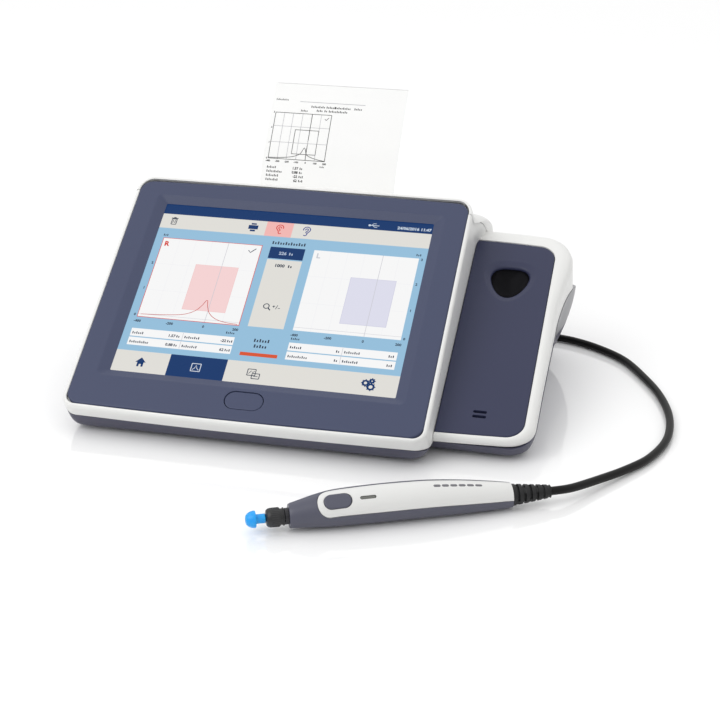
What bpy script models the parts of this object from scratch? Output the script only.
"""Desktop tympanometer: a wedge-shaped touch-screen unit with a built-in printer, a lower wing that holds
the probe, and the probe on its cord, lying on the table in front of the unit."""

import math

import bmesh
import bpy
import numpy as np
from mathutils import Vector

MM = 0.001

# Driving dimensions, in millimetres. The unit's own frame has X to the right, Y to the back and Z up,
# with the middle of the screen's lower edge above its origin and the table at Z = 0.
CENTRE_X = 41.4            # middle of the standing object, in the unit's own frame
CENTRE_Y = 55.3
SCREEN_W = 211.2           # the active area of a 10.4 inch screen with sides 4 to 3
SCREEN_H = 158.4
SLAB_TILT = math.radians(31.1)
SLAB_LIFT = 43.0           # height of the screen's lower edge above the table
WING_TILT = math.radians(25.6)
WING_LIFT = 18.85
SIDE = 133.2               # half width of the main housing
FRONT = -36.0              # its front edge, along the slope
RIM_END = 168.0            # where the printer lid takes over the white rim
CORNER = 13.0
SKIN = 2.5                 # wall thickness of the mouldings
GAP = 0.3
BASE_Z = 4.0
HINGE_Y = 221.6
HINGE_Z = 90.0
PAPER_W = 110.0
PAPER_X = 7.5              # the paper runs a little right of the middle, beside the gear train
ROLL_Y = 190.0
ROLL_Z = 74.0
ROLL_R = 20.0
PLATEN_Y = 191.8
PLATEN_Z = 101.5
PLATEN_R = 5.0
CORD_D = 5.8
PROBE_X = 38.3             # the ear tip's end
PROBE_Y = -133.7
PROBE_YAW = math.radians(24.5)
PROBE_ROLL = math.radians(39.5)
PROBE_LIFT = 10.0

# The white skirt gets deeper towards the back. Each pair is a place along the slope and a depth under it.
MAIN_SKIRT = [(-40, 11), (40, 11), (82, 14), (116, 21), (142, 36), (163, 59), (182, 86), (196, 108)]
WING_SKIRT = [(-8, 8), (49, 8.5), (77, 12), (102, 17), (130, 18.5), (147, 21.5), (161, 27.5), (174, 34.5), (190, 46),
              (211, 63)]


def clear_scene():
    for old in list(bpy.data.objects):
        bpy.data.objects.remove(old, do_unlink=True)


def collection(name):
    made = bpy.data.collections.new(name)
    bpy.context.scene.collection.children.link(made)
    return made


clear_scene()
PARTS = collection("tympanometer")
CUTTERS = collection("cutters")


def finish(name, colour, roughness, metallic=0.0):
    made = bpy.data.materials.new(name)
    made.use_nodes = True
    shader = made.node_tree.nodes["Principled BSDF"]
    shader.inputs["Base Color"].default_value = (*colour, 1.0)
    shader.inputs["Roughness"].default_value = roughness
    shader.inputs["Metallic"].default_value = metallic
    return made


WHITE = finish("white_plastic", (0.80, 0.80, 0.77), 0.42)
SLATE = finish("slate_plastic", (0.085, 0.09, 0.15), 0.45)
DARK = finish("dark_slate_plastic", (0.05, 0.053, 0.09), 0.5)
BLACK = finish("black_plastic", (0.012, 0.012, 0.013), 0.5)
RUBBER = finish("black_rubber", (0.01, 0.01, 0.01), 0.8)
GLASS = finish("screen_glass", (0.05, 0.06, 0.08), 0.08)
BOARD = finish("green_board", (0.01, 0.09, 0.04), 0.5)
STEEL = finish("bright_steel", (0.55, 0.56, 0.57), 0.3, 1.0)
PAPER = finish("thermal_paper", (0.9, 0.9, 0.88), 0.6)
NYLON = finish("cream_nylon", (0.72, 0.70, 0.62), 0.5)
BLUE = finish("blue_silicone", (0.02, 0.34, 0.86), 0.4)
TUBE = finish("clear_silicone", (0.6, 0.62, 0.62), 0.4)


def frame_at(name, location, rotation, parent):
    made = bpy.data.objects.new(name, None)
    made.empty_display_size = 0.02
    made.location = Vector(location) * MM
    made.rotation_euler = rotation
    made.parent = parent
    PARTS.objects.link(made)
    return made


UNIT = frame_at("unit", (-CENTRE_X, -CENTRE_Y, 0.0), (0, 0, 0), None)
SLAB = frame_at("slab", (0, 0, SLAB_LIFT), (SLAB_TILT, 0, 0), UNIT)
WING = frame_at("wing", (0, 0, WING_LIFT), (WING_TILT, 0, 0), UNIT)
LID = frame_at("lid_hinge", (0, HINGE_Y, HINGE_Z), (0, 0, 0), UNIT)
PROBE = frame_at("probe", (PROBE_X, PROBE_Y, PROBE_LIFT), (PROBE_ROLL, 0, PROBE_YAW), UNIT)


def place(name, mesh, material, parent, location=(0, 0, 0), rotation=(0, 0, 0)):
    made = bpy.data.objects.new(name, mesh)
    made.parent = parent
    made.location = Vector(location) * MM
    made.rotation_euler = rotation
    mesh.materials.clear()
    mesh.materials.append(material)
    PARTS.objects.link(made)
    return made


def as_cutter(piece):
    PARTS.objects.unlink(piece)
    CUTTERS.objects.link(piece)
    piece.hide_render = True
    piece.display_type = "WIRE"
    return piece


def combine(piece, tool, operation):
    as_cutter(tool)
    step = piece.modifiers.new(tool.name, "BOOLEAN")
    step.operation = operation
    step.object = tool
    step.solver = "EXACT"


def cut(piece, *tools):
    for tool in tools:
        combine(piece, tool, "DIFFERENCE")


def join(piece, *tools):
    for tool in tools:
        combine(piece, tool, "UNION")


def keep_inside(piece, tool):
    combine(piece, tool, "INTERSECT")


def smooth(mesh, angle=35):
    mesh.shade_smooth()
    mesh.set_sharp_from_angle(angle=math.radians(angle))


def loft(name, loops, material, parent, location=(0, 0, 0), rotation=(0, 0, 0)):
    """A closed solid through closed loops of equal length, with a face across each end."""
    loops = np.asarray(loops, float) * MM
    around = loops.shape[1]
    shape = bmesh.new()
    rows = [[shape.verts.new(point) for point in loop] for loop in loops]
    for low, high in zip(rows, rows[1:]):
        for i in range(around):
            j = (i + 1) % around
            shape.faces.new((low[i], low[j], high[j], high[i]))
    shape.faces.new(rows[0][::-1])
    shape.faces.new(rows[-1])
    bmesh.ops.recalc_face_normals(shape, faces=shape.faces)
    if shape.calc_volume(signed=True) < 0:
        bmesh.ops.reverse_faces(shape, faces=shape.faces)
    mesh = bpy.data.meshes.new(name)
    shape.to_mesh(mesh)
    shape.free()
    smooth(mesh)
    return place(name, mesh, material, parent, location, rotation)


def sheet(name, grid, material, parent, thickness):
    """An open surface through rows of points, thickened inwards."""
    grid = np.asarray(grid, float) * MM
    around = grid.shape[1]
    shape = bmesh.new()
    rows = [[shape.verts.new(point) for point in row] for row in grid]
    for low, high in zip(rows, rows[1:]):
        for i in range(around - 1):
            shape.faces.new((low[i], low[i + 1], high[i + 1], high[i]))
    mesh = bpy.data.meshes.new(name)
    shape.to_mesh(mesh)
    shape.free()
    smooth(mesh)
    made = place(name, mesh, material, parent)
    wall = made.modifiers.new("wall", "SOLIDIFY")
    wall.thickness = thickness * MM
    wall.offset = -1.0
    wall.use_even_offset = True
    return made


def rounded(corners, steps=5):
    """Points along an outline of (x, y, radius) corners, with each corner as an arc."""
    points = []
    count = len(corners)
    for i, (x, y, radius) in enumerate(corners):
        here = np.array([x, y], float)
        if radius <= 0:
            points.append(tuple(here))
            continue
        back = np.array(corners[i - 1][:2], float) - here
        ahead = np.array(corners[(i + 1) % count][:2], float) - here
        back /= np.linalg.norm(back)
        ahead /= np.linalg.norm(ahead)
        half = math.acos(float(np.clip(back @ ahead, -1, 1))) / 2
        middle = (back + ahead) / np.linalg.norm(back + ahead)
        centre = here + middle * radius / math.sin(half)
        start = here + back * radius / math.tan(half) - centre
        end = here + ahead * radius / math.tan(half) - centre
        turn = math.atan2(start[0] * end[1] - start[1] * end[0], float(start @ end))
        for k in range(steps + 1):
            a = turn * k / steps
            c, s = math.cos(a), math.sin(a)
            points.append((centre[0] + c * start[0] - s * start[1], centre[1] + s * start[0] + c * start[1]))
    return points


def rectangle(x0, x1, y0, y1, radius, steps=4):
    return rounded([(x0, y0, radius), (x1, y0, radius), (x1, y1, radius), (x0, y1, radius)], steps)


def stadium(x, y, length, width, steps=8):
    r = width / 2 - 0.01
    h = length / 2
    return rounded([(x - h, y - width / 2, r), (x + h, y - width / 2, r), (x + h, y + width / 2, r),
                    (x - h, y + width / 2, r)], steps // 2)


def plate(name, outline, low, high, material, parent, location=(0, 0, 0), rotation=(0, 0, 0)):
    """A flat outline with a thickness, made from a filled curve and then turned into a mesh."""
    curve = bpy.data.curves.new(name + "_outline", "CURVE")
    curve.dimensions = "2D"
    curve.fill_mode = "BOTH"
    curve.extrude = (high - low) / 2 * MM
    line = curve.splines.new("POLY")
    line.points.add(len(outline) - 1)
    for point, (x, y) in zip(line.points, outline):
        point.co = (x * MM, y * MM, 0, 1)
    line.use_cyclic_u = True
    guide = bpy.data.objects.new(name + "_outline", curve)
    PARTS.objects.link(guide)
    bpy.context.view_layer.update()
    graph = bpy.context.evaluated_depsgraph_get()
    mesh = bpy.data.meshes.new_from_object(guide.evaluated_get(graph))
    bpy.data.objects.remove(guide, do_unlink=True)
    shape = bmesh.new()
    shape.from_mesh(mesh)
    bmesh.ops.remove_doubles(shape, verts=shape.verts, dist=1e-6)
    bmesh.ops.translate(shape, verts=shape.verts, vec=(0, 0, (low + high) / 2 * MM))
    bmesh.ops.recalc_face_normals(shape, faces=shape.faces)
    shape.to_mesh(mesh)
    shape.free()
    return place(name, mesh, material, parent, location, rotation)


# A plate's outline is drawn in X and Y. This turn stands it up.
FACING_X = (math.pi / 2, 0, math.pi / 2)   # drawn as (Y, Z), thickness along X


def box(name, low, high, material, parent, bevel=0.0, rotation=(0, 0, 0)):
    low, high = np.array(low, float), np.array(high, float)
    shape = bmesh.new()
    bmesh.ops.create_cube(shape, size=1.0)
    bmesh.ops.scale(shape, vec=Vector((high - low) * MM), verts=shape.verts)
    mesh = bpy.data.meshes.new(name)
    shape.to_mesh(mesh)
    shape.free()
    made = place(name, mesh, material, parent, (low + high) / 2, rotation)
    if bevel:
        edge = made.modifiers.new("edge", "BEVEL")
        edge.width = bevel * MM
        edge.segments = 1
    return made


ALONG = {"X": (0, math.pi / 2, 0), "Y": (-math.pi / 2, 0, 0), "Z": (0, 0, 0)}


def turned(name, profile, material, parent, start, axis="Z", steps=20):
    """A solid of revolution. The profile lists (distance along the axis, radius) from one end to the other."""
    points = [(d, r) for d, r in profile]
    if points[0][1] > 0:
        points.insert(0, (points[0][0], 0.0))
    if points[-1][1] > 0:
        points.append((points[-1][0], 0.0))
    mesh = bpy.data.meshes.new(name)
    across = [(r * MM, 0.0, d * MM) for d, r in reversed(points)]
    mesh.from_pydata(across, [(i, i + 1) for i in range(len(across) - 1)], [])
    made = place(name, mesh, material, parent, start, ALONG[axis])
    spin = made.modifiers.new("turn", "SCREW")
    spin.steps = spin.render_steps = steps
    spin.use_merge_vertices = True
    spin.merge_threshold = 0.00002
    spin.use_smooth_shade = True
    return made


def ring(name, inner, profile, material, parent, start, axis="Z", steps=20):
    """A turned piece with a plain bore of the given radius."""
    points = [(profile[0][0], inner), *profile, (profile[-1][0], inner)]
    across = [(r * MM, 0.0, d * MM) for d, r in reversed(points)]
    across.append(across[0])
    mesh = bpy.data.meshes.new(name)
    mesh.from_pydata(across[:-1], [(i, (i + 1) % (len(across) - 1)) for i in range(len(across) - 1)], [])
    made = place(name, mesh, material, parent, start, ALONG[axis])
    spin = made.modifiers.new("turn", "SCREW")
    spin.steps = spin.render_steps = steps
    spin.use_merge_vertices = True
    spin.merge_threshold = 0.00002
    spin.use_smooth_shade = True
    return made


def rod(name, radius, length, material, parent, start, axis="X", steps=20):
    return turned(name, [(0, radius), (length, radius)], material, parent, start, axis, steps)


def smooth_route(points, spacing):
    """Evenly spaced points on the curve that passes through the given ones."""
    p = np.asarray(points, float)
    p = np.vstack([2 * p[0] - p[1], p, 2 * p[-1] - p[-2]])
    fine = []
    for i in range(1, len(p) - 2):
        for t in np.arange(0, 1, 0.02):
            a, b, c, d = p[i - 1], p[i], p[i + 1], p[i + 2]
            fine.append(0.5 * (2 * b + (c - a) * t + (2 * a - 5 * b + 4 * c - d) * t ** 2
                               + (3 * b - a - 3 * c + d) * t ** 3))
    fine.append(p[-2])
    fine = np.array(fine)
    run = np.concatenate([[0], np.cumsum(np.linalg.norm(np.diff(fine, axis=0), axis=1))])
    count = max(2, int(round(run[-1] / spacing)) + 1)
    even = np.linspace(0, run[-1], count)
    return np.stack([np.interp(even, run, fine[:, k]) for k in range(3)], axis=1)


def tube(name, points, diameter, material, parent, resolution=2):
    curve = bpy.data.curves.new(name, "CURVE")
    curve.dimensions = "3D"
    curve.bevel_depth = diameter / 2 * MM
    curve.bevel_resolution = resolution
    curve.use_fill_caps = True
    line = curve.splines.new("POLY")
    line.points.add(len(points) - 1)
    for point, at in zip(line.points, points):
        point.co = (*(np.array(at) * MM), 1)
    curve.materials.append(material)
    made = bpy.data.objects.new(name, curve)
    made.parent = parent
    PARTS.objects.link(made)
    return made


def from_slab(v, w):
    c, s = math.cos(SLAB_TILT), math.sin(SLAB_TILT)
    return v * c - w * s, SLAB_LIFT + v * s + w * c


def to_slab(y, z):
    c, s = math.cos(SLAB_TILT), math.sin(SLAB_TILT)
    return y * c + (z - SLAB_LIFT) * s, -y * s + (z - SLAB_LIFT) * c


def from_wing(v, w):
    c, s = math.cos(WING_TILT), math.sin(WING_TILT)
    return v * c - w * s, WING_LIFT + v * s + w * c


def hem_height(y, skirt, onto):
    """Height of the skirt's lower edge above the table at a distance to the back."""
    line = np.array([onto(v, -depth) for v, depth in skirt])
    return float(np.interp(y, line[:, 0], line[:, 1]))


def skirt_depth(v, skirt):
    line = np.array(skirt, float)
    return float(np.interp(v, line[:, 0], line[:, 1]))


# Display housing: the white frame round the bezel's front and sides, with its two side walls

SEAM_FRONT = (-25.1, 15.0)   # Y and Z of the seam under the white band at the front
SEAM_FALL = 0.175            # how fast it falls along the right side, ahead of the wing


def rim_end(w):
    return RIM_END - w * 25.0 / 52.0


def falling_seam(v):
    """Depth of the seam that falls from the right front corner to the wing, at a place along the slope."""
    c, s = math.cos(SLAB_TILT), math.sin(SLAB_TILT)
    return (SEAM_FRONT[1] - SEAM_FALL * (v * c - SEAM_FRONT[0]) - SLAB_LIFT - v * s) / (c - SEAM_FALL * s)


def rim_path(out, w):
    """The rim's open path at one distance outwards, from the left end round the front to the right end. Its
    lower edge drops round the right front corner, down to the wing's front."""
    a = SIDE + out
    r = CORNER + out
    inner_u = SIDE - CORNER
    inner_v = FRONT + CORNER
    turn = np.radians(np.linspace(0, 90, 6))
    left = [(-inner_u - r * math.cos(t), inner_v - r * math.sin(t)) for t in turn]
    right = [(-u, v) for u, v in reversed(left)]
    middle = [(u, FRONT - out) for u in (-80, -40, 0, 40, 80)]
    path = [(-a, rim_end(w)), (-a, 100), (-a, 30), *left, *middle, *right, (a, 30), (a, 100), (a, rim_end(w))]
    points = []
    for u, v in path:
        bow = 1.2 * max(0.0, 1 - (u / 120) ** 2) * (v < inner_v)
        corner = w <= -11 and u > inner_u and v < inner_v + 1
        points.append((u, v - bow, min(w, falling_seam(v)) if corner else w))
    return points


RIM = [(-6.0, -3.6), (-3.1, -3.6), (-3.1, -0.4), (-2.4, 0.0), (-1.2, -0.4), (-0.3, -1.5), (0.0, -3.2),
       (0.0, -11.0), (-SKIN, -11.0), (-SKIN, -5.9), (-6.0, -5.9)]

housing = loft("display_housing", np.swapaxes([rim_path(out, w) for out, w in RIM], 0, 1), WHITE, SLAB)

WALL_FACE = SIDE - 0.03      # just inside the rim, so that the two join cleanly
seam_low = to_slab(192.0, 98.0)
wall_back = to_slab(192.0, hem_height(192.0, MAIN_SKIRT, from_slab))
left_wall = [(-22.9, -9.0), (rim_end(-9.0) - 0.02, -9.0), seam_low, wall_back]
left_wall += [(v, -d) for v, d in reversed(MAIN_SKIRT) if -20 < v < wall_back[0] - 3] + [(-22.9, -11.0)]
right_wall = [(-22.9, -9.0), (rim_end(-9.0) - 0.02, -9.0), seam_low, (190, -44), to_slab(-1.5, 10.9),
              (-22.9, falling_seam(-22.9))]
join(housing,
     plate("left_wall", left_wall, -WALL_FACE, -WALL_FACE + SKIN, WHITE, SLAB, rotation=FACING_X),
     plate("right_wall", right_wall, WALL_FACE - SKIN, WALL_FACE, WHITE, SLAB, rotation=FACING_X))

# Display bezel: the slate face with its sloping window, the start button's hole and a bare name place

BEZEL = (130.0, -32.6, 180.2)
bezel = plate("display_bezel", rounded([(-BEZEL[0], BEZEL[1], 10), (0, BEZEL[1] - 1.2, 0), (BEZEL[0], BEZEL[1], 10),
                                        (BEZEL[0], 178.2, 10), (0, BEZEL[2], 0), (-BEZEL[0], 178.2, 10)]),
              -3.3, 0.0, SLATE, SLAB)
WINDOW = [(113.5, -7.0, 167.0, 4, 0.6), (112, -6, 166, 3, 0.0), (SCREEN_W / 2, 0, SCREEN_H, 1.0, -2.9),
          (SCREEN_W / 2, 0, SCREEN_H, 1.0, -4)]
cut(bezel,
    loft("window", [[(x, y, w) for x, y in rectangle(-a, a, lo, hi, r)] for a, lo, hi, r, w in WINDOW], SLATE, SLAB),
    plate("button_hole", stadium(0, -16.7, 28.8, 15.3), -4, 1, SLATE, SLAB))

# Start button and the switch that it presses

button = plate("start_button", stadium(0, 0, 28, 14.5), -3.8, -0.4, SLATE, SLAB, location=(0, -16.7, 0))
join(button, plate("button_flange", stadium(0, 0, 31, 17.2), -4.9, -3.6, SLATE, SLAB, location=(0, -16.7, 0)))
box("button_switch", (-9, -21.5, -9.6), (9, -12, -6.4), BLACK, SLAB, 0.6)

# Screen: a cover glass over the display module, both under the bezel

box("touch_glass", (-116, -7.0, -5.5), (116, 168, -3.7), GLASS, SLAB)
display = box("lcd_module", (-118, -11, -12.0), (118, 171, -5.9), STEEL, SLAB, 0.8)
join(display, box("display_driver", (-60, 20, -15.5), (60, 90, -11.0), BOARD, SLAB))

# Lower shell: one bowl under both skirts, cut into the slate base and the white hull round the back.
# The hem is where the walls meet the skirts, and the foot is the outline on the bottom.

HEM_X = SIDE - 0.4
WING_HEM_X = 202.9
HEM_FRONT = (-24.9, -26.0, -0.4)   # Y at the front corners, at the bowed middle, and at the wing's front
FLARE = 5.5                # how much further out the wing's side stands at the back
FLARE_FROM = 120.0
FLARE_TO = 185.0


def wing_flare(v):
    t = min(max((v - FLARE_FROM) / (FLARE_TO - FLARE_FROM), 0.0), 1.0)
    return FLARE * t * t * (3 - 2 * t)


left_side = [from_slab(v, -d)[0] for v, d in reversed(MAIN_SKIRT) if -20 < v < 190]
wing_side = [(WING_HEM_X + wing_flare(v), from_wing(v, -d)[0]) for v, d in WING_SKIRT if 0 < v < 200]
HEM = [(-HEM_X, 219.6, 14), *[(-HEM_X, y, 0) for y in left_side], (-HEM_X, HEM_FRONT[0], 12), (0, HEM_FRONT[1], 0),
       (HEM_X, HEM_FRONT[0], 12), (HEM_X, HEM_FRONT[2], 1), (WING_HEM_X, HEM_FRONT[2], 14),
       *[(x, y, 0) for x, y in wing_side], (WING_HEM_X + FLARE, 215.5, 22), (140, 217.2, 0), (132, 219.6, 0)]


def foot_left(y):
    """The bottom outline beside a place on the left hem: it narrows and shortens towards the back."""
    t = (y - HEM_FRONT[0]) / (219.6 - HEM_FRONT[0])
    return -125 + 12 * t ** 0.7, -17 + 213 * t, 0


def foot_right(y):
    t = (y - HEM_FRONT[2]) / (215.5 - HEM_FRONT[2])
    return 197 - 19 * t ** 0.8, 4.5 + 191.5 * t, 0


FOOT = [(-112, 196, 12), *[foot_left(y) for y in left_side], (-126, -17, 8), (0, -18, 0),
        (127, -17, 8), (127, 4.5, 1), (196, 4.5, 10),
        *[foot_right(y) for _, y in wing_side], (178, 196, 14), (140, 196, 0), (132, 196, 0)]
SEAM = 0.5
SHELL = 2.4


def inset(outline, distance):
    """A counter-clockwise outline moved inwards, with mitred corners."""
    p = np.asarray(outline, float)
    ahead = np.roll(p, -1, axis=0) - p
    ahead /= np.linalg.norm(ahead, axis=1)[:, None]
    inward = np.stack([-ahead[:, 1], ahead[:, 0]], axis=1)
    before = np.roll(inward, 1, axis=0)
    return p + (inward + before) * distance / (1 + (inward * before).sum(axis=1))[:, None]


def seam_height(x, y):
    """Height of the seam between a skirt and the lower shell at a place on the hem."""
    if x > SIDE:
        return hem_height(y, WING_SKIRT, from_wing) - SEAM
    height = hem_height(y, MAIN_SKIRT, from_slab)
    if y < 0 and x > SIDE - CORNER:
        height = min(height, SEAM_FRONT[1] - SEAM_FALL * (y - SEAM_FRONT[0]))
    return height - SEAM


def lower_shell(name, material):
    hem = np.array(rounded(HEM, 4))
    foot = np.array(rounded(FOOT, 4))
    heights = np.array([seam_height(x, y) for x, y in hem])
    start = np.column_stack([foot, np.full(len(foot), BASE_Z)])
    end = np.column_stack([hem, heights])
    bend = start + (end - start) * np.array([0.55, 0.55, 0.22])
    outer = [(1 - t) ** 2 * start + 2 * t * (1 - t) * bend + t ** 2 * end for t in (0, 0.2, 0.45, 0.7, 1)]
    inner = []
    for k, row in enumerate(outer):
        floor = BASE_Z + SHELL + 0.05 * k
        inner.append(np.column_stack([inset(row[:, :2], SHELL), np.maximum(row[:, 2], floor)]))
    return loft(name, outer + inner[::-1], material, UNIT)


base = lower_shell("base_housing", SLATE)
cut(base, box("hull_room", (-150, 103.6, 37.7), (220, 240, 120), SLATE, UNIT))
hull = lower_shell("rear_hull", WHITE)
keep_inside(hull, box("hull_region", (-150, 104.0, 38.0), (220, 240, 120), WHITE, UNIT))

# Connectors in the back of the base, behind one plate

PLATE_X = (-64.0, 60.0)
PLATE_Z = (10.0, 32.0)
cut(base, box("connector_room", (PLATE_X[0] - 0.4, 185, PLATE_Z[0] - 0.4), (PLATE_X[1] + 0.4, 215, PLATE_Z[1] + 0.4),
              SLATE, UNIT))
connector_plate = box("connector_plate", (PLATE_X[0], 197.2, PLATE_Z[0]), (PLATE_X[1], 199.2, PLATE_Z[1]), BLACK, UNIT)
SOCKET_Z = 20.5
cut(connector_plate,
    rod("power_hole", 5.4, 10, BLACK, UNIT, (-50, 193, SOCKET_Z), "Y"),
    box("usb_hole", (-27.2, 193, 16.9), (-12.8, 203, 24.1), BLACK, UNIT),
    rod("probe_hole", 8.4, 10, BLACK, UNIT, (40, 193, SOCKET_Z), "Y", 24))
power = rod("power_jack", 5.1, 13, BLACK, UNIT, (-50, 187, SOCKET_Z), "Y")
cut(power, rod("power_bore", 3.4, 12, BLACK, UNIT, (-50, 189, SOCKET_Z), "Y", 16))
usb = box("usb_socket", (-26.9, 186, 17.2), (-13.1, 199.9, 23.8), STEEL, UNIT)
cut(usb, box("usb_room", (-26.2, 189, 17.9), (-13.8, 203, 23.1), STEEL, UNIT))
ring("probe_socket", 5.0, [(0, 8.1), (13.2, 8.1)], BLACK, UNIT, (40, 187, SOCKET_Z), "Y", 24)

# Wing housing: the white frame of the probe's wing, open towards the main housing

WING_EDGE = 195.0
WING_LEFT = SIDE + 0.4


def wing_path():
    """The wing panel's edge from the main housing round the right side, with the way out at each place."""
    inner = np.array([(WING_LEFT, 0), (150, 0.4), (166, 0.9), (180, 1.4)])
    near = [(182 + 13 * math.sin(t), 14.5 - 13 * math.cos(t)) for t in np.radians([0, 18, 36, 54, 72, 90])]
    side = [(WING_EDGE, v) for v, _ in WING_SKIRT if 20 < v < 170]
    far = [(182 + 13 * math.cos(t), 174 + 13 * math.sin(t)) for t in np.radians([0, 18, 36, 54, 72, 90])]
    rear = [(166, 188), (150, 188.6), (WING_LEFT, 189)]
    points = np.array([*inner, *near, *side, *far, *rear], float)
    count = len(points)
    angle = np.full(count, -90.0)
    angle[4:10] = [-90, -72, -54, -36, -18, 0]
    angle[10:-9] = 0
    angle[-9:-3] = [0, 18, 36, 54, 72, 90]
    angle[-3:] = 90
    return points, np.radians(angle)


WING_FRONT_RIM = [(-5, -6), (-5, -3.8), (0.3, -3.8), (0.3, -0.3), (1, 0), (2.6, -0.3), (4.0, -1.7), (4.5, -3.6),
                  (4.5, -1), (2, -1), (2, -7), (1.6, -6)]
WING_SIDE_RIM = [(-5, -6), (-5, -3.8), (0.3, -3.8), (0.3, -0.3), (1, 0), (3.6, -0.4), (6.6, -3), (8, -7.5),
                 (8, -1), (5.4, -1), (5.4, -7.6), (3.5, -6)]
WING_REAR_RIM = [(-5, -6), (-5, -3.8), (0.3, -3.8), (0.3, -0.3), (1, 0), (12.6, -3), (19.6, -11), (22, -22),
                 (22, -1), (19.4, -1), (19.4, -23), (8, -6)]
HEM_POINTS = (8, 9)
FLARE_SHARE = (0, 0, 0, 0, 0, 0.45, 0.85, 1, 1, 1, 1, 0)   # how far each point of the side's section follows the flare


def wing_frame():
    points, angle = wing_path()
    front = np.clip(-np.sin(angle), 0, 1) ** 2
    rear = np.clip(np.sin(angle), 0, 1) ** 2
    side = np.cos(angle) ** 2
    loops = []
    for (u, v), a, f, r, s in zip(points, angle, front, rear, side):
        loop = []
        for k in range(len(WING_SIDE_RIM)):
            out, w = (f * np.array(WING_FRONT_RIM[k]) + s * np.array(WING_SIDE_RIM[k]) + r * np.array(WING_REAR_RIM[k]))
            out += s * wing_flare(v) * FLARE_SHARE[k]
            at = np.array([u + out * math.cos(a), v + out * math.sin(a)])
            if k in HEM_POINTS:
                outer = v + (f * 4.5 + s * (8 + wing_flare(v)) + r * 22) * math.sin(a)
                level = max(0.0, outer - at[1]) * math.tan(WING_TILT)
                w = level - skirt_depth(outer, WING_SKIRT)
            loop.append((at[0], at[1], w))
        loops.append(loop)
    return loft("wing_housing", loops, WHITE, WING)


wing_housing = wing_frame()

# Wing panel: slate face with the probe's hole, its soft lip and two sound slots

HOLE = (164.2, 148.5)
HOLE_SHAPE = [(-14.6, 11.5, 8.5), (0, 15.0, 30), (14.6, 11.5, 8.5), (12.5, -5.5, 14), (0, -16.0, 11), (-12.5, -5.5, 14)]


def hole_outline(scale):
    return rounded([(HOLE[0] + x * scale, HOLE[1] + y * scale, r * scale * 0.72) for x, y, r in HOLE_SHAPE], 3)


wing_panel = plate("wing_panel", [tuple(at) for at in wing_path()[0]], -3.3, 0.0, DARK, WING)
HOLE_RINGS = [(1.42, 0.8), (1.30, 0.0), (1.12, -0.9), (1.0, -2.4), (1.0, -5.0)]
cut(wing_panel,
    loft("holder_hole", [[(x, y, w) for x, y in hole_outline(s)] for s, w in HOLE_RINGS], DARK, WING),
    plate("sound_slot_a", stadium(162.6, 21.1, 9.6, 2.0), -6, 1, DARK, WING),
    plate("sound_slot_b", stadium(162.6, 16.9, 9.6, 2.0), -6, 1, DARK, WING))

# Probe holder: a deep cup under the hole that takes the probe, tip down

CUP_DEPTH = 58.0
cup = loft("probe_holder", [[(x, y, w) for x, y in hole_outline(s)] for s, w in
                            ((1.30, -3.7), (1.30, -6.5), (1.17, -8), (0.98, -CUP_DEPTH))], BLACK, WING)
cut(cup, loft("holder_room", [[(x, y, w) for x, y in hole_outline(s)] for s, w in
                              ((1.0, -2.0), (1.0, -7), (0.82, -CUP_DEPTH + 2.5))], BLACK, WING))

# Beeper under the sound slots

turned("beeper", [(0, 8), (5, 8), (5, 7), (5.6, 7)], BLACK, WING, (162.6, 24.5, -9.6), "Z", 20)

# Printer lid: the rim behind the display, the hump over the paper roll and the hinge lugs.
# Each row of its surface gives the seam's depth under the display's face, the half width there and further
# back, the corner's radius, and Y and Z of the row's rear.
LID_OUTER = [(0.4, 130.4, 130.4, 10, *from_slab(180.7, -0.4)), (0.0, 131.6, 131.6, 11.5, *from_slab(182.0, 0.0)),
             (0.9, 132.9, 132.9, 13, *from_slab(183.4, -0.9)), (3.4, 133.3, 133.3, 14, *from_slab(184.2, -3.4)),
             (11.5, 133.4, 133.7, 14, 164.0, 126.6), (17, 133.4, 135.4, 13.5, 170.5, 121.6),
             (27, 133.4, 138.8, 13, 191.5, 114.0), (38, 133.4, 140.0, 13, 208.5, 104.8),
             (46, 133.4, 140.0, 13, 217.5, 97.5), (52.6, 133.4, 140.0, 13, 220.7, 89.4)]
LID_INNER = [(2.6, 130.4, 130.4, 10, *from_slab(180.7, -2.6)), (2.8, 130.6, 130.6, 10.2, *from_slab(181.0, -2.8)),
             (3.4, 130.8, 130.8, 10.6, *from_slab(181.4, -3.4)), (5.0, 131.1, 131.1, 11.6, *from_slab(182.1, -4.6)),
             (12.5, 131.2, 131.4, 11.8, 162.3, 125.2), (17.5, 131.2, 133.2, 11.3, 169.4, 119.7),
             (27.5, 131.2, 136.6, 10.8, 190.6, 112.0), (38.5, 131.2, 137.8, 10.8, 207.3, 103.0),
             (46.5, 131.2, 137.8, 10.8, 215.7, 96.2), (52.6, 131.2, 137.8, 10.8, 218.4, 88.8)]


def lid_row(depth, a_end, a, r, y1, z1, ahead=1.0):
    """One row of the lid from the left seam round the back to the right seam."""
    y0, z0 = from_slab(rim_end(-depth) - ahead, -depth)
    turn = np.radians(np.linspace(0, 90, 6))
    span = y1 - r - y0
    side = [(a_end + (a - a_end) * (1 - (1 - t) ** 2), y0 + span * t) for t in (0.0, 0.3, 0.65)]
    corner = [(a - r + r * math.cos(t), y1 - r + r * math.sin(t)) for t in turn]
    half = side + corner + [((a - r) * f, y1) for f in (0.66, 0.33)]
    path = [(-x, y) for x, y in half] + [(0, y1)] + [(x, y) for x, y in reversed(half)]
    return [(x, y - HINGE_Y, z0 + (z1 - z0) * (y - y0) / (y1 - y0) - HINGE_Z) for x, y in path]


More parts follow.
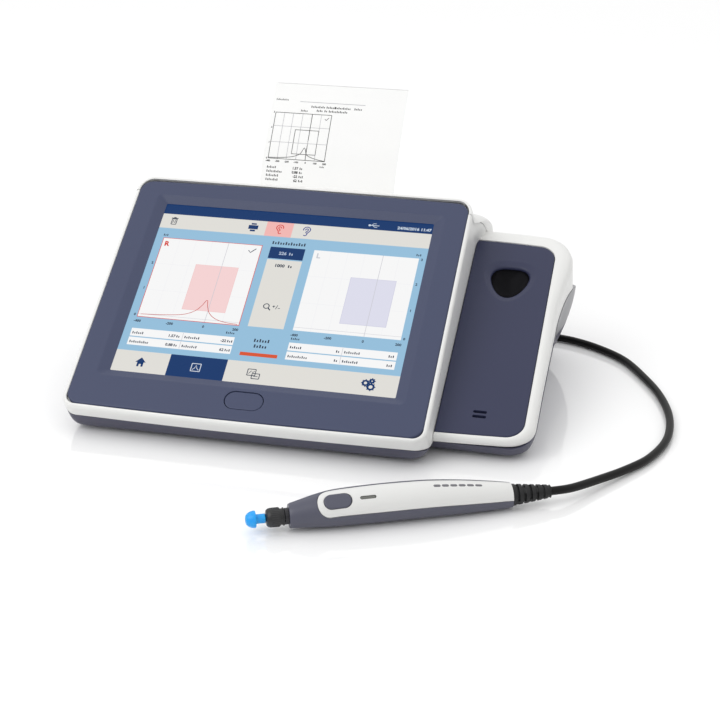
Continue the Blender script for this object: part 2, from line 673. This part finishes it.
def grown(row, by, lower=0.0):
    depth, a_end, a, r, y1, z1 = row
    return depth + lower, a_end + by, a + by, r + by, y1 + by, z1 - lower, 2.2


lid_room = [lid_row(*grown(row, 0.5)) for row in LID_OUTER[4:]] + [lid_row(*grown(LID_OUTER[-1], 0.5, 8))]
WALL_TOP = [(180, 101.6), (192.6, 97.4), (220.8, 89.6), (240, 89.6)]
cut(wing_housing, loft("lid_room", lid_room, WHITE, LID),
    box("wall_room", (120, 190.5, 0), (SIDE + 7.0, 240, 99), WHITE, UNIT))
lid_rows = [lid_row(*row) for row in LID_OUTER + LID_INNER[::-1]]
lid = loft("printer_lid", np.swapaxes(lid_rows, 0, 1), WHITE, LID)
LID_SEAM = 0.5
SEAM_SIDE = [(120, 20), (RIM_END + LID_SEAM, 20)] + [(rim_end(w) + LID_SEAM, w) for w in (0, -60)] + [(120, -60)]
BEZEL_ROOM = rounded([(-BEZEL[0] - 0.3, 100, 0), (BEZEL[0] + 0.3, 100, 0), (BEZEL[0] + 0.3, 178.5, 10.3),
                      (0, BEZEL[2] + 0.3, 0), (-BEZEL[0] - 0.3, 178.5, 10.3)])
cut(lid, plate("seam_side", SEAM_SIDE, -160, 160, WHITE, SLAB, rotation=FACING_X),
    plate("bezel_room", BEZEL_ROOM, -3.6, 4, WHITE, SLAB),
    plate("wall_side", [(y, z + LID_SEAM) for y, z in WALL_TOP] + [(240, 60), (180, 60)], -160, 160, WHITE, UNIT,
          rotation=FACING_X))
SLOT_MID = (188.7, 112.8)
KNUCKLES = (-80.0, 80.0)


def knuckle(name, x0, x1, radius, parent):
    centre = (x0, 0, 0) if parent is LID else (x0, HINGE_Y, HINGE_Z)
    return rod(name, radius, x1 - x0, WHITE, parent, centre, "X", 20)


cut(lid, box("paper_slot", (PAPER_X - PAPER_W / 2 - 2.5, SLOT_MID[0] - HINGE_Y - 1.6, SLOT_MID[1] - HINGE_Z - 9),
             (PAPER_X + PAPER_W / 2 + 2.5, SLOT_MID[0] - HINGE_Y + 1.9, SLOT_MID[1] - HINGE_Z + 9), WHITE, LID,
             rotation=(math.radians(-14), 0, 0)))
for x in KNUCKLES:
    join(lid, knuckle(f"lid_knuckle_{x:.0f}", x - 7, x + 7, 3.2, LID))
    cut(lid, knuckle(f"lid_relief_l_{x:.0f}", x - 17, x - 6.9, 3.7, LID),
        knuckle(f"lid_relief_r_{x:.0f}", x + 6.9, x + 17, 3.7, LID),
        rod(f"lid_bore_{x:.0f}", 1.8, 20, WHITE, LID, (x - 10, 0, 0), "X", 16))

# Rear wall: the white wall under the lid, with the fixed hinge lugs

WALL_PLAN = [(-SIDE, 192.6, 0), (-SIDE, 220.2, 14), (139.4, 220.2, 14), (139.4, 192.6, 0), (136.9, 192.6, 0),
             (136.9, 217.7, 11.5), (-SIDE + SKIN, 217.7, 11.5), (-SIDE + SKIN, 192.6, 0)]
rear_wall = plate("rear_wall", rounded(WALL_PLAN), 40, 100, WHITE, UNIT)
hem_back = [(y, hem_height(y, MAIN_SKIRT, from_slab)) for y in (188, 200, 210, 218, 232)]
below = [(240, 30), (180, 30)] + [(y, z + 0.1) for y, z in hem_back]
cut(rear_wall,
    plate("above_wall", WALL_TOP + [(240, 120), (180, 120)], -160, 160, WHITE, UNIT, rotation=FACING_X),
    plate("below_wall", below, -160, 160, WHITE, UNIT, rotation=FACING_X))
for x in KNUCKLES:
    join(rear_wall, knuckle(f"wall_knuckle_l_{x:.0f}", x - 15, x - 7.4, 3.2, UNIT),
         knuckle(f"wall_knuckle_r_{x:.0f}", x + 7.4, x + 15, 3.2, UNIT))
    cut(rear_wall, knuckle(f"wall_relief_{x:.0f}", x - 7.5, x + 7.5, 3.7, UNIT),
        rod(f"wall_bore_{x:.0f}", 1.8, 34, WHITE, UNIT, (x - 17, HINGE_Y, HINGE_Z), "X", 16))
    side = "left" if x < 0 else "right"
    rod(f"hinge_pin_{side}", 1.5, 30, STEEL, UNIT, (x - 15, HINGE_Y, HINGE_Z), "X", 16)

# Printer: frame, print head, platen, gears, motor, the paper and its roll

FRAME_X = (-50.0, 66.0)
printer_frame = box("printer_frame", (FRAME_X[0], 158.6, 84), (FRAME_X[1], 160.4, 104), STEEL, UNIT)
CHEEK = rounded([(158.8, 84.2, 0), (172, 84.2, 2), (184, 91, 2), (184, 109, 2), (166, 103.8, 4), (158.8, 103.8, 0)], 3)
for label, x in (("left", FRAME_X[0]), ("right", FRAME_X[1] - 1.8)):
    join(printer_frame, plate(f"cheek_{label}", CHEEK, x, x + 1.8, STEEL, UNIT, rotation=FACING_X))
box("print_head", (PAPER_X - 54, 179.4, 98.5), (PAPER_X + 54, 185.6, 107.0), BLACK, UNIT, 0.8)

PLATEN_PROFILE = [(-59.5, 1.5), (-47.5, 1.5), (-47.5, PLATEN_R), (62.5, PLATEN_R), (62.5, 1.5), (70.5, 1.5)]
turned("platen_roller", PLATEN_PROFILE, RUBBER, UNIT, (0, PLATEN_Y, PLATEN_Z), "X", 18)
bracket_outline = rounded([(PLATEN_Y - 3.4, PLATEN_Z - 3.2, 2), (PLATEN_Y + 4, PLATEN_Z - 3.2, 2),
                           (PLATEN_Y + 6, 107.0, 1), (PLATEN_Y - 1, 109.4, 1)], 3)
platen_bracket = box("platen_bracket", (-52.4, PLATEN_Y + 4.2, 105.4), (68.4, PLATEN_Y + 6.0, 106.8), STEEL, UNIT)
for x in (-52.4, 66.6):
    join(platen_bracket, plate(f"bracket_ear_{x:.0f}", bracket_outline, x, x + 1.8, STEEL, UNIT, rotation=FACING_X))
cut(platen_bracket, rod("platen_bearing", 1.9, 150, STEEL, UNIT, (-70, PLATEN_Y, PLATEN_Z), "X", 16))

MODULE = 0.6
TEETH = {"platen_gear": 22, "idler_gear": 24, "motor_pinion": 10}
IDLER = (178.4, 98.4)
PINION = (170.3, 92.2)


def pitch_radius(name):
    return MODULE * TEETH[name] / 2


def gear(name, centre, phase, x0, x1, bore, material, parent=UNIT):
    """A spur gear with straight-sided teeth, a little thinner than half the pitch so that they run free."""
    teeth = TEETH[name]
    r = pitch_radius(name)
    pitch = 2 * math.pi / teeth
    outline = []
    for k in range(teeth):
        a = phase + k * pitch
        for at, radius in ((-0.30, r - 0.72), (-0.11, r + 0.50), (0.11, r + 0.50), (0.30, r - 0.72)):
            outline.append((radius * math.cos(a + at * pitch), radius * math.sin(a + at * pitch)))
    made = plate(name, outline, x0, x1, material, parent, location=(0, *centre), rotation=FACING_X)
    cut(made, rod(name + "_bore", bore, 30, material, parent, ((x0 + x1) / 2 - 15, *centre), "X", 16))
    return made


def towards(a, b):
    return math.atan2(b[1] - a[1], b[0] - a[0])


def meshed(first, first_phase, direction, second):
    """The phase that puts a gap of the second gear on the first gear's tooth nearest the line of centres."""
    pitch = 2 * math.pi / TEETH[first]
    behind = (direction - first_phase) % pitch
    return direction + math.pi + behind * TEETH[first] / TEETH[second] + math.pi / TEETH[second]


def set_apart(origin, target, distance):
    a = towards(origin, target)
    return origin[0] + distance * math.cos(a), origin[1] + distance * math.sin(a)


PLATEN = (PLATEN_Y, PLATEN_Z)
idler_at = set_apart(PLATEN, IDLER, pitch_radius("platen_gear") + pitch_radius("idler_gear") + 0.05)
pinion_at = set_apart(idler_at, PINION, pitch_radius("idler_gear") + pitch_radius("motor_pinion") + 0.05)
gear("idler_gear", idler_at, 0.0, -57, -54, 1.35, NYLON)
gear("platen_gear", PLATEN, meshed("idler_gear", 0.0, towards(idler_at, PLATEN), "platen_gear"), -57, -54, 1.9, NYLON)
gear("motor_pinion", pinion_at, meshed("idler_gear", 0.0, towards(idler_at, pinion_at), "motor_pinion"), -57, -54,
     1.1, STEEL)
turned("printer_motor", [(-58, 0.75), (-47.5, 0.75), (-47.5, 3.5), (-46.5, 3.5), (-46.5, 6.0), (-26, 6.0)], STEEL, UNIT,
       (0, *pinion_at), "X", 18)
cut(printer_frame, rod("motor_hole", 4.2, 8, STEEL, UNIT, (-54, *pinion_at), "X", 16))
join(printer_frame, rod("idler_pin", 1.0, 10.2, STEEL, UNIT, (-59.0, *idler_at), "X", 12))

ring("paper_roll", 6.6, [(-PAPER_W / 2, ROLL_R), (PAPER_W / 2, ROLL_R)], PAPER, UNIT, (PAPER_X, ROLL_Y, ROLL_Z),
     "X", 28)
turned("roll_spindle", [(-62, 2), (-57.5, 2), (-57.5, 9), (-56, 9), (-56, 6.2), (56, 6.2), (56, 9), (57.5, 9),
                        (57.5, 2),
                        (62, 2)], NYLON, UNIT, (PAPER_X, ROLL_Y, ROLL_Z), "X", 18)
TROUGH_R = 23.5
arc = [(ROLL_Y + TROUGH_R * math.cos(t), ROLL_Z + TROUGH_R * math.sin(t)) for t in np.radians(np.linspace(-175, 5, 13))]
trough_x = np.linspace(PAPER_X - 59.5, PAPER_X + 59.5, 2)
paper_trough = sheet("paper_trough", [[(x, y, z) for y, z in arc] for x in trough_x], NYLON, UNIT, 1.6)
cheek_arc = [(ROLL_Y + (TROUGH_R + 0.8) * math.cos(t), ROLL_Z + (TROUGH_R + 0.8) * math.sin(t))
             for t in np.radians(np.linspace(-175, -5, 12))]
cheek = [*cheek_arc, (ROLL_Y + 4, ROLL_Z + 4), (ROLL_Y - 4, ROLL_Z + 4)]
for x in (PAPER_X - 60.5, PAPER_X + 59.0):
    join(paper_trough, plate(f"trough_cheek_{x:.0f}", cheek, x, x + 1.5, NYLON, UNIT, rotation=FACING_X))
cut(paper_trough, rod("spindle_notch", 2.6, 140, NYLON, UNIT, (PAPER_X - 70, ROLL_Y, ROLL_Z), "X", 16),
    box("spindle_mouth", (PAPER_X - 70, ROLL_Y - 2.6, ROLL_Z), (PAPER_X + 70, ROLL_Y + 2.6, ROLL_Z + 12), NYLON, UNIT))

# The printed strip runs up from the platen, through the lid's slot and curls back
PAPER_ROUTE = [(185.85, 98.0), (186.2, 101.5), (186.6, 106.0), (188.3, 112.4),
               (191.6, 121.5), (196.2, 130.5), (202.6, 140.8), (210.4, 151.6), (219.6, 162.6), (229.0, 173.6),
               (239.2, 184.3), (248.0, 193.9)]


def paper_loops():
    line = np.array(PAPER_ROUTE)
    ahead = np.gradient(line, axis=0)
    ahead /= np.linalg.norm(ahead, axis=1)[:, None]
    side = np.stack([-ahead[:, 1], ahead[:, 0]], axis=1) * 0.15
    loops = []
    for (y, z), (dy, dz) in zip(line, side):
        x0, x1 = PAPER_X - PAPER_W / 2, PAPER_X + PAPER_W / 2
        loops.append([(x0, y - dy, z - dz), (x1, y - dy, z - dz), (x1, y + dy, z + dz), (x0, y + dy, z + dz)])
    return loops


loft("paper_strip", paper_loops(), PAPER, UNIT)

# Electronics, air pump and tubing

main_board = box("main_board", (-112, 2, 11.6), (70, 128, 13.2), BOARD, UNIT)
for i, (x, y, w, d, h) in enumerate(((-70, 40, 34, 34, 3.5), (-15, 70, 26, 20, 3), (30, 40, 22, 30, 7),
                                     (-80, 100, 40, 14, 9), (40, 104, 28, 16, 6))):
    join(main_board, box(f"component_{i}", (x - w / 2, y - d / 2, 12.8), (x + w / 2, y + d / 2, 13.2 + h), BLACK, UNIT))
box("socket_board", (-66, 150, 10.4), (62, 185.4, 12.0), BOARD, UNIT)
PUMP_X = 168.0
PUMP_Z = 23.0
turned("pump_motor", [(0, 10), (26, 10), (26, 4), (28, 4), (28, 1.2), (39, 1.2)], STEEL, UNIT, (PUMP_X, 56, PUMP_Z),
       "Y", 20)
pump_cylinder = turned("pump_cylinder", [(0, 11), (40, 11), (40, 2.4), (45, 2.4)], NYLON, UNIT, (PUMP_X, 85, PUMP_Z),
                       "Y", 20)
cut(pump_cylinder, rod("pump_bore", 9.0, 39, NYLON, UNIT, (PUMP_X, 83, PUMP_Z), "Y", 20),
    rod("pump_port", 1.3, 20, NYLON, UNIT, (PUMP_X, 119, PUMP_Z), "Y", 12))
piston = turned("pump_piston", [(0, 3.2), (8, 3.2), (8, 8.7), (13, 8.7)], BLACK, UNIT, (PUMP_X, 88, PUMP_Z), "Y", 20)
cut(piston, rod("screw_room", 1.6, 10.5, BLACK, UNIT, (PUMP_X, 86, PUMP_Z), "Y", 12))
valve = box("valve_block", (112, 128, 10.5), (128, 150, 28), BLACK, UNIT, 1.0)
join(valve, rod("valve_coil", 6, 14, BLACK, UNIT, (120, 139, 27), "Z", 18))
AIR_ROUTE = [(PUMP_X, 130.6, PUMP_Z), (PUMP_X, 134.5, PUMP_Z), (PUMP_X - 4, 140.5, 21.5), (PUMP_X - 14, 142.6, 19),
             (144, 140.4, 18), (134.5, 139, 18), (128.6, 139, 18)]
tube("air_tube", smooth_route(AIR_ROUTE, 5.0), 4.4, TUBE, UNIT, 1)

# Feet and base screws

FEET = {"front_left": (-104, 8), "front_right": (176, 26), "rear_left": (-98, 178), "rear_right": (160, 178)}
for label, (x, y) in FEET.items():
    turned(f"foot_{label}", [(0, 7.2), (0.8, 8), (BASE_Z - GAP, 8)], RUBBER, UNIT, (x, y, 0), "Z", 18)
SCREWS = {"front_left": (-86, 8), "front_right": (120, 20), "rear_left": (-80, 182), "rear_right": (124, 182)}
for label, (x, y) in SCREWS.items():
    turned(f"base_screw_{label}", [(0, 2.2), (0.7, 3), (1.6, 3), (1.6, 1.4), (7, 1.4)], STEEL, UNIT, (x, y, 2.0),
           "Z", 12)
    cut(base, rod(f"screw_hole_{label}", 1.8, 8, SLATE, UNIT, (x, y, 1), "Z", 12))

# Probe: stations along its axis with radius and height of the axis above the table

PROBE_STATIONS = [(26.5, 7.6, 9.9), (27.9, 8.2, 10.0), (34.4, 9.2, 10.7), (44.3, 10.8, 11.7), (58, 12.1, 12.5),
                  (85, 12.6, 12.9), (115, 12.4, 12.7), (140, 11.3, 11.6), (158, 10.0, 10.4), (170, 8.9, 9.5),
                  (174, 8.3, 9.2)]
PROBE_SIDES = 24


def probe_axis(x):
    """Where the axis passes, across the rolled probe's own frame, at a distance from the tip's end."""
    line = np.array(PROBE_STATIONS)
    rise = float(np.interp(x, line[:, 0], line[:, 2])) - PROBE_LIFT
    return rise * math.sin(PROBE_ROLL), rise * math.cos(PROBE_ROLL)


def probe_loops(inset, first, last):
    loops = []
    for x, r, _ in PROBE_STATIONS:
        x = min(max(x, first), last)
        cy, cz = probe_axis(x)
        angles = np.radians(np.arange(PROBE_SIDES) * 360 / PROBE_SIDES)
        loops.append([(x, cy + (r - inset) * math.cos(a), cz + (r - inset) * math.sin(a)) for a in angles])
    return loops


def probe_shell(name, material):
    shell = loft(name, probe_loops(0, 0, 300), material, PROBE)
    cut(shell, loft(name + "_room", probe_loops(1.9, 29.0, 171.5), material, PROBE))
    return shell


TONGUE = rounded([(44.2, -9.0, 8.4), (60, -9.3, 0), (85, -9.7, 0), (115, -9.5, 0), (140, -8.7, 0), (158, -7.7, 0),
                  (180, -6.2, 0), (180, 6.2, 0), (158, 7.7, 0), (140, 8.7, 0), (115, 9.5, 0), (85, 9.7, 0),
                  (60, 9.3, 0), (44.2, 9.0, 8.4)], 5)


def tongue_shift(outline, grow):
    """The white shell's outline, grown by a small gap and moved onto the probe's axis."""
    shifted = []
    for x, y in outline:
        side = 1 if y > 0 else -1
        shifted.append((x - grow * (x < 46), y + grow * side + probe_axis(x)[0]))
    return shifted


lower = probe_shell("probe_lower_shell", SLATE)
cut(lower, plate("tongue_room", tongue_shift(TONGUE, 0.15), 3.5, 30, SLATE, PROBE))
upper = probe_shell("probe_upper_shell", WHITE)
keep_inside(upper, plate("tongue", tongue_shift(TONGUE, -0.15), 3.8, 30, WHITE, PROBE))
BUTTON_X = 57.4
LIGHT_X = 77.0
button_y, button_z = probe_axis(BUTTON_X)
cut(upper, plate("probe_button_hole", stadium(BUTTON_X, button_y, 18.6, 10.4), 5, 30, WHITE, PROBE),
    plate("light_hole", stadium(LIGHT_X, probe_axis(LIGHT_X)[0], 10.6, 2.4), 5, 30, WHITE, PROBE))
probe_button = plate("probe_button", stadium(0, 0, 18.0, 9.8), -3.6, 0.0, SLATE, PROBE,
                     location=(BUTTON_X, button_y, button_z + 12.1))
crown = probe_button.modifiers.new("edge", "BEVEL")
crown.width = 0.7 * MM
crown.segments = 1
crown.limit_method = "ANGLE"
plate("status_light", stadium(LIGHT_X, probe_axis(LIGHT_X)[0], 10.0, 1.8), button_z + 9.6, button_z + 12.3, NYLON,
      PROBE)
probe_board = box("probe_board", (50, button_y - 5.5, button_z + 2.0), (140, button_y + 5.5, button_z + 3.4), BOARD,
                  PROBE)
join(probe_board, box("probe_switch", (BUTTON_X - 5, button_y - 3, button_z + 3.0),
                      (BUTTON_X + 5, button_y + 3, button_z + 7.6), BLACK, PROBE))

nose_y, nose_z = probe_axis(PROBE_STATIONS[0][0])
NOSE = (-1.5, nose_y, nose_z)
ring("collar_nut", 2.9, [(13.2, 5.0), (14.2, 6.2), (24.2, 6.2), (25.0, 5.6)], BLACK, PROBE, NOSE, "X", 24)
turned("probe_tip", [(2.2, 1.5), (13, 1.5), (13.5, 2.5), (25.4, 2.5), (25.4, 5.4), (27.7, 5.4)], BLACK, PROBE,
       NOSE, "X", 18)
ring("ear_tip", 1.9, [(0.2, 2.4), (1.2, 3.7), (3.4, 5.1), (5.8, 5.6), (6.6, 5.3), (6.2, 3.2), (12.8, 3.1)], BLUE, PROBE,
     NOSE, "X", 24)

RELIEF_END = 201.0
RIBS = 6


def relief_profile():
    """Tapering sleeve with square ribs, thinner towards the cord."""
    points = []
    for k in range(RIBS):
        x0 = 174.4 + k * 4.4
        r = 7.4 - 0.5 * k
        points += [(x0, r), (x0 + 2.6, r - 0.25), (x0 + 2.6, r - 1.3), (x0 + 4.4, r - 1.4)]
    return points + [(RELIEF_END, 4.2)]


relief_y, relief_z = probe_axis(174)
turned("strain_relief", relief_profile(), RUBBER, PROBE, (0, relief_y, relief_z), "X", 16)

# Probe cord, in the unit's own frame: out of the strain relief, round the wing, into a coil behind the
# unit and from there into the plug

CORD_Z = CORD_D / 2 + 0.3
CORD_GAP = 0.6
relief_tip = (PROBE_X + (RELIEF_END + CORD_GAP) * math.cos(PROBE_YAW),
              PROBE_Y + (RELIEF_END + CORD_GAP) * math.sin(PROBE_YAW), 9.2)
COIL_X = 95.0
COIL_Y = 285.0
COIL_R = 38.0
COIL_TURNS = 5
COIL_STEP = 6.5
LAYER_STEP = 6.4
PLUG_X = 40.0
PLUG_END = 228.0

FREE_ROUTE = [relief_tip, (228.0, -47.0, 9.2), (236.4, -39, 8.0), (251.3, -19.4, 5.6), (266.6, 0.6, 4.0),
              (281.5, 24, CORD_Z), (291.5, 55, CORD_Z), (291.6, 91, CORD_Z), (282.8, 127, CORD_Z),
              (269.2, 157, CORD_Z), (251.4, 187, CORD_Z), (230, 206, CORD_Z), (208.6, 217.5, CORD_Z),
              (188, 222.5, CORD_Z), (165, 227.5, CORD_Z), (142, 237, CORD_Z), (121, 244.6, CORD_Z),
              (107.5, 247, CORD_Z), (COIL_X + 0.3, COIL_Y - COIL_R, CORD_Z)]


def coil_points():
    """One unbroken coil: in over the first half of the turns, up a layer where it reverses, and out again."""
    total = COIL_TURNS * 2 * math.pi
    theta = np.linspace(0, total, COIL_TURNS * 24 + 1)
    radius = COIL_R - COIL_STEP * np.minimum(theta, total - theta) / (2 * math.pi)
    climb = np.clip((theta - (total / 2 - math.pi / 2)) / math.pi, 0, 1)
    height = CORD_Z + LAYER_STEP * climb
    angle = -math.pi / 2 - theta
    loop = np.stack([COIL_X + radius * np.cos(angle), COIL_Y + radius * np.sin(angle), height], axis=1)
    loop[0, 1] = loop[1, 1] = COIL_Y - COIL_R
    loop[-1, 1] = loop[-2, 1] = COIL_Y - COIL_R
    return loop


def least_gap(points, diameter):
    """The smallest clear distance between stretches of the same tube that are over two diameters apart."""
    run = np.concatenate([[0], np.cumsum(np.linalg.norm(np.diff(points, axis=0), axis=1))])
    apart = np.linalg.norm(points[:, None] - points[None], axis=2)
    far = np.abs(run[:, None] - run[None]) > 3 * diameter
    return float(apart[far].min()) - diameter


loops = coil_points()
print("coil: least gap to itself", round(least_gap(loops, CORD_D), 2), "mm")
tube("probe_cord_coil", loops, CORD_D, RUBBER, UNIT, 1)
free = smooth_route(FREE_ROUTE, 12.0)
tube("probe_cord_free", free, CORD_D, RUBBER, UNIT, 2)
top = CORD_Z + LAYER_STEP
TAIL_ROUTE = [(COIL_X - 0.3, COIL_Y - COIL_R, top), (88.5, 247, top), (76, 247, top + 0.8), (62, 246.2, 12.8),
              (50.5, 242.6, 16.2), (43, 238.2, 19.2), (PLUG_X, PLUG_END + 7, SOCKET_Z),
              (PLUG_X, PLUG_END + CORD_GAP, SOCKET_Z)]
tail = smooth_route(TAIL_ROUTE, 7.0)
tube("probe_cord_tail", tail, CORD_D, RUBBER, UNIT, 2)


def length_of(points):
    return float(np.linalg.norm(np.diff(points, axis=0), axis=1).sum())


print("cord length", round(length_of(free) + length_of(loops) + length_of(tail)), "mm")
turned("probe_plug", [(188.6, 4.6), (200.6, 4.6), (200.6, 7.6), (214, 7.6), (215.5, 6.6), (220, 6.0), (PLUG_END, 4.0)],
       BLACK, UNIT, (PLUG_X, 0, SOCKET_Z), "Y", 18)
